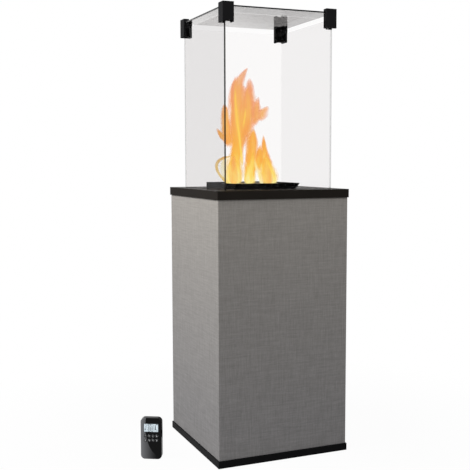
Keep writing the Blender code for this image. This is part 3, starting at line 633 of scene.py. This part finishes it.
DIGITS = [(-6.0, -3.5, 7.3, 15.2, 1.4), (2.7, -3.5, 7.3, 15.2, 1.4)]
DIGITS += [(x, 9.3, 2.3, 4.8, 0.5) for x in (-9.6, -6.8, -2.9, -0.1)]
DISPLAY_SIGNS = {
    "colon": [(disc, -4.85, y, 0.35, 8) for y in (8.2, 10.4)],
    "clock letters": [(bar, x, y, 1.3, 0.8) for x in (2.8, 4.8) for y in (8.6, 10.4)],
    "battery": [(bar, 17.8, 10.3, 5.2, 2.1), (bar, 20.7, 10.3, 0.5, 1.0)],
    "thermometer": [(disc, 13.3, -4.0, 2.0), (bar, 13.3, 2.8, 2.1, 11.0)],
    "unit": [(bar, 8.3, 7.2, 3.4, 0.9), (bar, 8.3, 5.2, 0.8, 2.4)],
    "small rings": [(hoop, 8.9, y, 1.1, 0.4) for y in (1.2, -1.6)],
    "small arrows": [(triangle, 9.2, -6.9, 1.1), (triangle, 10.6, -9.4, 1.1, UPSIDE_DOWN)],
    "side arrows": [(triangle, -15.8, 4.5, 2.0, UPSIDE_DOWN), (triangle, -15.8, 0.1, 2.0)],
    "bulb": [(hoop, -18.1, -4.7, 2.2, 1.3), (bar, -18.1, -7.7, 1.5, 0.7)],
    "level": [(bar, -12.6, y, 2.6, 0.6) for y in (-4.3, -6.3)],
    "dashes": [(bar, x, -10.2, 1.1, 1.0) for x in (-19.6, -16.5, 13.4, 15.2, 17.0, 18.8)],
    "clock rings": [(hoop, -17.4, 10.0, 1.8, 0.5), (hoop, -14.0, 8.2, 1.3, 0.4)],
    "flames": [(triangle, 16.6, -6.6, 1.7), (triangle, 19.2, -7.2, 1.2)],
}

ink = Finish("display_ink", rgb(22, 34, 44), 0.35)
ink.shade(0.9, 1.1, ink.place.noise(200.0))
signs = [segment for numbers in DIGITS for segment in digit(*numbers)]
for rows in DISPLAY_SIGNS.values():
    signs += drawn(rows)
display_low, display_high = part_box("handset_display")
middle_height = (display_low.z + display_high.z) / 2 - case_low.z
display_middle = on_face("handset_display", 0.0, middle_height)
lay("display_signs", signs, display_middle, ink, "handset")

# %% Signs on the keys
KEY_SIGNS = {
    1: [(hoop, 0, 0, 1.7, 0.4), (bar, 0, 1.3, 0.5, 1.9)],
    2: [(triangle, 0, 1.3, 1.5, UPSIDE_DOWN), (triangle, 0, -1.3, 1.5)],
    3: [(disc, 0, -1.8, 1.0), (bar, 0, 0.6, 0.9, 4.2)],
    4: [(arrow, 0.1, 5.1)],
    5: [(hoop, -0.3, 0.4, 1.8, 1.1), (bar, 1.7, 2.2, 1.4, 0.4, 0.8), (bar, 0, -2.5, 2.0, 0.5)],
    6: [(disc, -0.6, 1.1, 1.3), (disc, 0.8, -1.4, 1.5, 4)],
    7: [(triangle, 0, 0.9, 1.5), (triangle, -1.7, -1.2, 1.0), (triangle, 1.7, -1.2, 1.0)],
    8: [(arrow, -0.1, 5.1, UPSIDE_DOWN)],
}

white_print = Finish("key_white_print", rgb(222, 223, 225), 0.5)
white_print.shade(0.92, 1.05, white_print.place.noise(300.0))
for number in KEYS:
    name = "handset_key_" + str(number)
    low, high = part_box(name)
    centre = (low + high) / 2
    front = centre + outwards * (face_plane(name) - centre.dot(outwards))
    lay("key_sign_" + str(number), drawn(KEY_SIGNS[number]), front, white_print, name)

# %% [markdown]
# ## The flame
# A gas flame is glowing gas, not a solid: soft tongues that thin out at their edges. Each tongue
# here starts as a flat circle, which is extruded upwards ring by ring along a wandering line, wider
# or narrower at each step. Every point is then told how near it is to its tongue's edge, and the
# material uses that to fade the edges and to turn them from yellow to orange.

# %% Grow one tongue
FLAME_TURN = math.radians(-22.65)
FLAME_SIDES = 16
DEPTH_SHARE = 0.5
SECOND_RING = 0.4
SUNK_IN_TRAY = 3 * MM
FLAME_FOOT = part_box("burner_tray")[1].z - SUNK_IN_TRAY


def ring_reach(mesh, stations):
    """Store on each point how near it is to its tongue's edge or tip: 0 in the middle, 1 there."""
    last = len(stations) - 1
    thins_out = {last: 1.0, last - 1: SECOND_RING}
    if stations[0][1] > 0:
        thins_out.update({0: 1.0, 1: SECOND_RING})
    reach = mesh.attributes.new("reach", "FLOAT", "POINT")
    for point, vertex in enumerate(mesh.vertices):
        ring = min(range(last + 1), key=lambda at: abs(stations[at][1] * MM - vertex.co.z))
        x, _, half = stations[ring]
        aside = min(1.0, abs(vertex.co.x - x * MM) / (half * MM))
        reach.data[point].value = max(aside, thins_out.get(ring, 0.0))


def tongue(name, depth, finish, stations):
    """A closed tongue through stations of sideways place, height and half width, in millimetres."""
    clear_selection()
    x, z, half = (value * MM for value in stations[0])
    bpy.ops.mesh.primitive_circle_add(vertices=FLAME_SIDES, radius=1.0, fill_type="NGON",
                                      location=(0, 0, 0))
    piece = bpy.context.object
    bpy.ops.object.mode_set(mode="EDIT")
    bpy.ops.transform.resize(value=(half, half * DEPTH_SHARE, 1.0), center_override=(0, 0, 0))
    bpy.ops.transform.translate(value=(x, depth * MM, z))
    for next_station in stations[1:]:
        new_x, new_z, new_half = (value * MM for value in next_station)
        step = (new_x - x, 0, new_z - z)
        bpy.ops.mesh.extrude_region_move(TRANSFORM_OT_translate={"value": step})
        size = new_half / half
        centre = (new_x, depth * MM, new_z)
        bpy.ops.transform.resize(value=(size, size, 1.0), center_override=centre)
        x, z, half = new_x, new_z, new_half
    bpy.ops.mesh.select_all(action="SELECT")
    bpy.ops.mesh.normals_make_consistent(inside=False)
    bpy.ops.object.mode_set(mode="OBJECT")
    ring_reach(piece.data, stations)
    smooth = piece.modifiers.new("smooth", "SUBSURF")
    smooth.levels = 2
    smooth.render_levels = 2
    bpy.ops.object.modifier_apply(modifier=smooth.name)
    bpy.ops.object.shade_smooth()
    piece.name = "flame_" + name
    piece.data.name = piece.name
    turn = Matrix.Rotation(FLAME_TURN, 4, "Z")
    piece.data.transform(Matrix.Translation((0, 0, FLAME_FOOT)) @ turn)
    piece.data.materials.append(finish.material)
    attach(piece, "cabinet")


print("the flame starts", round(FLAME_FOOT, 3), "m above the floor")

# %% Fire that glows and fades
FLAME_HEIGHT = 0.37
LICK_STRETCH = (62, 62, 11)
SWIRL_SCALE = 14
SWIRL_AMOUNT = 0.035
HEAT_WANDER = 0.5
EDGE_WANDER = 1.8
EDGE_COLOURS = (0.15, 0.8)
SOLID_REACH = 0.97
RAGGED = 0.7
LICK_RANGE = (0.3, 0.6)
TOP_FADE = (0.80, 1.02, 1.0, 0.6)


def fire_finish(name, centre_stops, edge_stops, thinnest, thickest, softness):
    """Glowing gas whose colour follows height and the distance from the tongue's middle."""
    fire = Finish(name, (0, 0, 0, 1), 1.0, Specular_IOR_Level=0.0, Emission_Strength=1.0)
    rise = (fire.place.axis(2) - FLAME_FOOT) * (1 / FLAME_HEIGHT)
    swirl = fire.place.warped(SWIRL_SCALE, SWIRL_AMOUNT)
    licks = swirl.stretched(*LICK_STRETCH).noise(1.0, 3.0, 0.55)
    reach = fire.place.node("Attribute", {"attribute_name": "reach"}, output=2)
    heat = rise + (licks - 0.5) * HEAT_WANDER
    centre = heat.node("ValToRGB", {"stops": centre_stops}, {0: heat})
    edge = heat.node("ValToRGB", {"stops": edge_stops}, {0: heat})
    towards_edge = (reach + (licks - 0.5) * EDGE_WANDER).between(*EDGE_COLOURS)
    fire.feed("Emission Color", towards_edge.mix(centre, edge))
    body = (SOLID_REACH - reach + (licks - 0.5) * RAGGED).between(0.0, softness, 0.0, 1.0)
    thickness = licks.between(*LICK_RANGE, thinnest, thickest)
    fire.feed("Alpha", body * thickness * rise.between(*TOP_FADE))
    return fire


def stops(*pairs):
    """Ramp stops from places and sRGB colours."""
    return [(place, rgb(*colour)[:3]) for place, colour in pairs]


CENTRE = stops((0.0, (255, 238, 150)), (0.10, (255, 222, 108)), (0.22, (253, 194, 84)),
               (0.34, (251, 182, 80)), (0.52, (249, 188, 96)), (0.78, (246, 180, 106)),
               (1.0, (240, 172, 128)))
EDGE = stops((0.0, (253, 214, 104)), (0.10, (252, 196, 84)), (0.22, (250, 168, 72)),
             (0.36, (248, 166, 78)), (0.55, (247, 168, 92)), (0.78, (244, 162, 108)),
             (1.0, (237, 162, 132)))
CORE = stops((0.0, (255, 246, 200)), (0.25, (255, 222, 104)), (0.6, (254, 208, 98)),
             (1.0, (250, 192, 100)))
BRIGHT = stops((0.0, (255, 240, 166)), (0.08, (255, 226, 118)), (0.2, (254, 208, 94)),
               (0.3, (251, 190, 84)))
VEIL_CENTRE = stops((0.0, (254, 206, 110)), (0.5, (247, 184, 100)), (0.8, (243, 170, 116)),
                    (1.0, (240, 170, 132)))
VEIL_EDGE = stops((0.0, (250, 180, 92)), (0.5, (245, 162, 102)), (1.0, (238, 158, 130)))
LINE = stops((0.0, (246, 212, 120)), (0.2, (226, 182, 98)), (0.3, (240, 176, 90)))
HAZE = stops((0.0, (255, 240, 150)), (0.1, (255, 246, 196)), (0.3, (255, 232, 150)))

fire = fire_finish("gas_flame", CENTRE, EDGE, 0.65, 0.95, 0.55)
core = fire_finish("gas_flame_core", CORE, CORE, 0.35, 0.75, 0.7)
bright = fire_finish("gas_flame_foot", BRIGHT, CENTRE, 0.5, 0.9, 0.6)
veil = fire_finish("gas_flame_veil", VEIL_CENTRE, VEIL_EDGE, 0.45, 0.85, 0.75)
line = fire_finish("gas_flame_curl", LINE, LINE, 0.5, 0.85, 0.5)
haze = fire_finish("gas_flame_haze", HAZE, HAZE, 0.15, 0.5, 0.5)
print("flame finishes:", [made.material.name for made in (fire, core, bright, veil, line, haze)])

# %% [markdown]
# Each row below is one tongue: how far it stands behind the flame's middle, its finish, and its
# stations. A station is a sideways place, a height and a half width, all in millimetres.

# %% All the tongues
TONGUES = {
    "tall": (0, fire, [(-68, -2, 33), (-68, 24, 35), (-68, 49, 33), (-67, 72, 30), (-63, 91, 27),
                       (-60, 110, 26), (-58, 129, 28), (-59, 151, 32), (-57, 177, 35),
                       (-56, 202, 34), (-58, 234, 33), (-60, 265, 32), (-61, 287, 29),
                       (-58, 310, 24), (-52, 328, 20), (-42, 344, 14), (-32, 358, 8),
                       (-22, 372, 1)]),
    "left_peak": (9, fire, [(-70, 269, 13), (-70, 294, 14), (-67, 319, 12), (-62, 350, 1)]),
    "mass": (22, veil, [(-57, 107, 15), (-49, 139, 31), (-46, 164, 36), (-43, 189, 40),
                        (-40, 215, 44), (-38, 240, 45), (-40, 265, 43), (-43, 287, 35),
                        (-45, 306, 19), (-47, 322, 2)]),
    "second": (14, veil, [(-20, 132, 12), (-24, 158, 19), (-24, 183, 22), (-22, 205, 25),
                          (-18, 227, 29), (-16, 250, 28), (-16, 272, 23), (-17, 291, 18),
                          (-18, 306, 16), (-19, 322, 12), (-19, 339, 1)]),
    "second_heart": (4, fire, [(-34, 145, 8), (-34, 177, 16), (-30, 208, 19), (-26, 240, 19),
                               (-25, 269, 17), (-23, 294, 13), (-20, 322, 2)]),
    "right_peak": (2, veil, [(-5, 208, 13), (-2, 234, 15), (4, 256, 12), (12, 284, 1)]),
    "right_curl": (-4, veil, [(11, 196, 10), (14, 206, 21), (17, 217, 26), (20, 227, 24),
                              (29, 236, 17), (42, 251, 1)]),
    "curl_under": (6, veil, [(-7, 180, 9), (-3, 197, 17), (2, 215, 21), (4, 234, 18), (6, 250, 11),
                             (7, 269, 2)]),
    "bridge": (12, veil, [(-30, 56, 9), (-26, 81, 8), (-24, 107, 9), (-22, 129, 13),
                          (-20, 151, 12), (-18, 170, 2)]),
    "lobe": (-8, fire, [(-81, 110, 9), (-87, 132, 17), (-92, 155, 21), (-94, 177, 19),
                        (-96, 199, 18), (-97, 221, 15), (-98, 237, 12), (-99, 259, 1)]),
    "lobe_tip": (-12, fire, [(-94, 129, 9), (-103, 145, 13), (-112, 161, 10), (-126, 180, 1)]),
    "middle": (-16, fire, [(-18, -2, 26), (-20, 27, 25), (-18, 56, 23), (-14, 81, 20),
                           (-11, 107, 22), (-10, 126, 21), (-9, 145, 16), (-8, 159, 9),
                           (-7, 180, 1)]),
    "valley": (-4, fire, [(4, 30, 19), (7, 59, 21), (10, 84, 17), (13, 104, 11), (15, 129, 1)]),
    "right": (4, fire, [(43, -2, 35), (42, 24, 35), (37, 46, 32), (33, 65, 25), (31, 84, 18),
                        (28, 107, 12), (26, 129, 8), (25, 158, 1)]),
    "curl": (-14, line, [(-82, -2, 11), (-96, 8, 9), (-110, 22, 7), (-120, 37, 6), (-125, 52, 6),
                         (-123, 65, 7), (-115, 75, 10), (-103, 81, 14), (-90, 86, 14),
                         (-76, 91, 1)]),
    "curl_fill": (-10, haze, [(-86, -2, 12), (-94, 20, 18), (-100, 43, 19), (-100, 62, 19),
                              (-92, 78, 13), (-83, 94, 2)]),
    "glow_left": (-26, bright, [(-72, -2, 27), (-72, 20, 28), (-72, 43, 26), (-71, 62, 20),
                                (-69, 88, 2)]),
    "glow_middle": (-34, bright, [(-25, -2, 15), (-24, 24, 14), (-17, 49, 11), (-10, 75, 8),
                                  (-7, 110, 2)]),
    "glow_slant": (-30, core, [(19, -2, 10), (14, 20, 10), (5, 43, 8), (-2, 62, 6), (-9, 91, 1)]),
    "glow_right": (-28, bright, [(53, -2, 20), (51, 20, 19), (45, 43, 15), (38, 65, 11),
                                 (31, 100, 2)]),
    "streak": (-24, core, [(-43, 43, 3), (-45, 75, 5), (-48, 110, 5), (-51, 145, 6), (-57, 180, 6),
                           (-61, 215, 7), (-63, 250, 6), (-65, 278, 5), (-65, 310, 1)]),
    "streak_right": (-14, core, [(-42, 164, 3), (-38, 193, 5), (-33, 221, 5), (-31, 253, 1)]),
    "rear_tall": (40, fire, [(-67, -2, 23), (-67, 59, 19), (-62, 113, 17), (-59, 170, 19),
                             (-59, 227, 18), (-62, 281, 2)]),
    "rear_right": (46, fire, [(36, -2, 25), (33, 30, 22), (29, 62, 13), (27, 100, 2)]),
    "rear_middle": (62, fire, [(-17, -2, 19), (-17, 36, 17), (-13, 81, 12), (-10, 132, 2)]),
    "front_left": (-56, veil, [(-70, -2, 19), (-71, 30, 18), (-71, 59, 12), (-68, 100, 2)]),
    "front_right": (-54, veil, [(36, -2, 23), (35, 24, 19), (32, 49, 12), (30, 84, 2)]),
}
for name, (depth, finish, stations) in TONGUES.items():
    tongue(name, depth, finish, stations)
print("the flame has", len(TONGUES), "tongues")

# %% [markdown]
# ## Studio, camera and hand-over
# The heater stands on a white studio floor. The camera sees floor and backdrop as white, apart from
# the faintest shade close to the heater, which is lit at an even level by the sky and two large
# lamps. The camera's place was worked out from the photograph's straight edges.

# %% White floor
FLOOR_SIDE = 40
FLOOR_PAPER = (0.42, 0.42, 0.42, 1)
WHITE = (1, 1, 1, 1)
NEAR_WHITE = 0.97
SHADE_ENDS = (0.5, 1.2)

clear_selection()
bpy.ops.mesh.primitive_plane_add(size=1.0, location=(0, 0, 0))
floor = bpy.context.object
floor.name = "studio_floor"
bpy.ops.object.mode_set(mode="EDIT")
bpy.ops.transform.resize(value=(FLOOR_SIDE, FLOOR_SIDE, 1))
bpy.ops.object.mode_set(mode="OBJECT")
paper = Finish("studio_paper", FLOOR_PAPER, 0.9, Specular_IOR_Level=0.0)
light_path = paper.tree.nodes.new("ShaderNodeLightPath")


def seen_directly(tree, path):
    """1 for a ray from the camera, a mirror or a pane, and 0 for the light that falls on things."""
    rays = [Signal(tree, path.outputs[name])
            for name in ("Is Camera Ray", "Is Glossy Ray", "Is Transmission Ray")]
    return rays[0].maths("MAXIMUM", rays[1]).maths("MAXIMUM", rays[2])


distance = paper.place.node("VectorMath", {"operation": "LENGTH"}, {0: paper.place}, output=1)
whiteness = distance.between(*SHADE_ENDS, NEAR_WHITE, 1.0)
white = paper.place.node("Emission", None, {"Color": WHITE, "Strength": 1.0})
surface = Signal(paper.tree, paper.shader.outputs[0])
share = seen_directly(paper.tree, light_path) * whiteness
mixed = surface.node("MixShader", None, {0: share, 1: surface, 2: white})
paper.tree.links.new(mixed.socket, paper.tree.nodes["Material Output"].inputs[0])
floor.data.materials.append(paper.material)
print("the floor is", round(max(floor.dimensions), 1), "m wide")

# %% Sky and lamps
SKY_LEVEL = 0.22
world = bpy.data.worlds.new("studio_sky")
bpy.context.scene.world = world
world.use_nodes = True
sky_tree = world.node_tree
sky_path = sky_tree.nodes.new("ShaderNodeLightPath")
background = sky_tree.nodes["Background"]
background.inputs["Color"].default_value = WHITE
sky_strength = seen_directly(sky_tree, sky_path) * (1 - SKY_LEVEL) + SKY_LEVEL
sky_tree.links.new(sky_strength.socket, background.inputs["Strength"])


def lamp(name, place, target, size, watts):
    """A large soft lamp that faces a point."""
    light = bpy.data.lights.new(name, "AREA")
    light.shape = "SQUARE"
    light.size = size
    light.energy = watts
    lamp_object = bpy.data.objects.new(name, light)
    bpy.context.scene.collection.objects.link(lamp_object)
    lamp_object.location = place
    aim = Vector(target) - Vector(place)
    lamp_object.rotation_euler = aim.to_track_quat("-Z", "Y").to_euler()
    print(name, "stands", round(aim.length, 2), "m from the point it lights")


HEATER_MIDDLE = (0, 0, 0.9)
lamp("key_lamp", (-1.7, -0.1, 2.1), HEATER_MIDDLE, 1.2, 62)
lamp("fill_lamp", (0.5, -1.4, 2.2), HEATER_MIDDLE, 1.0, 20)

# %% Camera
CAMERA_PLACE = Vector((-1.1086, -2.4825, 0.9146))
VIEW_TURN = math.radians(67.345)
VIEW_PITCH = math.radians(-5.078)
VIEW_ROLL = math.radians(-0.158)
FOCAL_PIXELS = 843.87
IMAGE_PIXELS = 470
SENSOR = 36.0

plan = Vector((math.cos(VIEW_TURN), math.sin(VIEW_TURN), 0))
side = Vector((plan.y, -plan.x, 0))
ahead = plan * math.cos(VIEW_PITCH) + Vector((0, 0, math.sin(VIEW_PITCH)))
above = Vector((0, 0, math.cos(VIEW_PITCH))) - plan * math.sin(VIEW_PITCH)
right = side * math.cos(VIEW_ROLL) + above * math.sin(VIEW_ROLL)
up = above * math.cos(VIEW_ROLL) - side * math.sin(VIEW_ROLL)
camera_data = bpy.data.cameras.new("photo_camera")
camera_data.sensor_width = SENSOR
camera_data.lens = SENSOR * FOCAL_PIXELS / IMAGE_PIXELS
camera = bpy.data.objects.new("photo_camera", camera_data)
bpy.context.scene.collection.objects.link(camera)
look = Matrix((right, up, -ahead)).transposed().to_4x4()
camera.matrix_world = Matrix.Translation(CAMERA_PLACE) @ look
bpy.context.scene.camera = camera
bpy.context.scene.view_settings.view_transform = "Standard"
print("camera at", [round(v, 3) for v in camera.location], "with lens", round(camera_data.lens, 1))
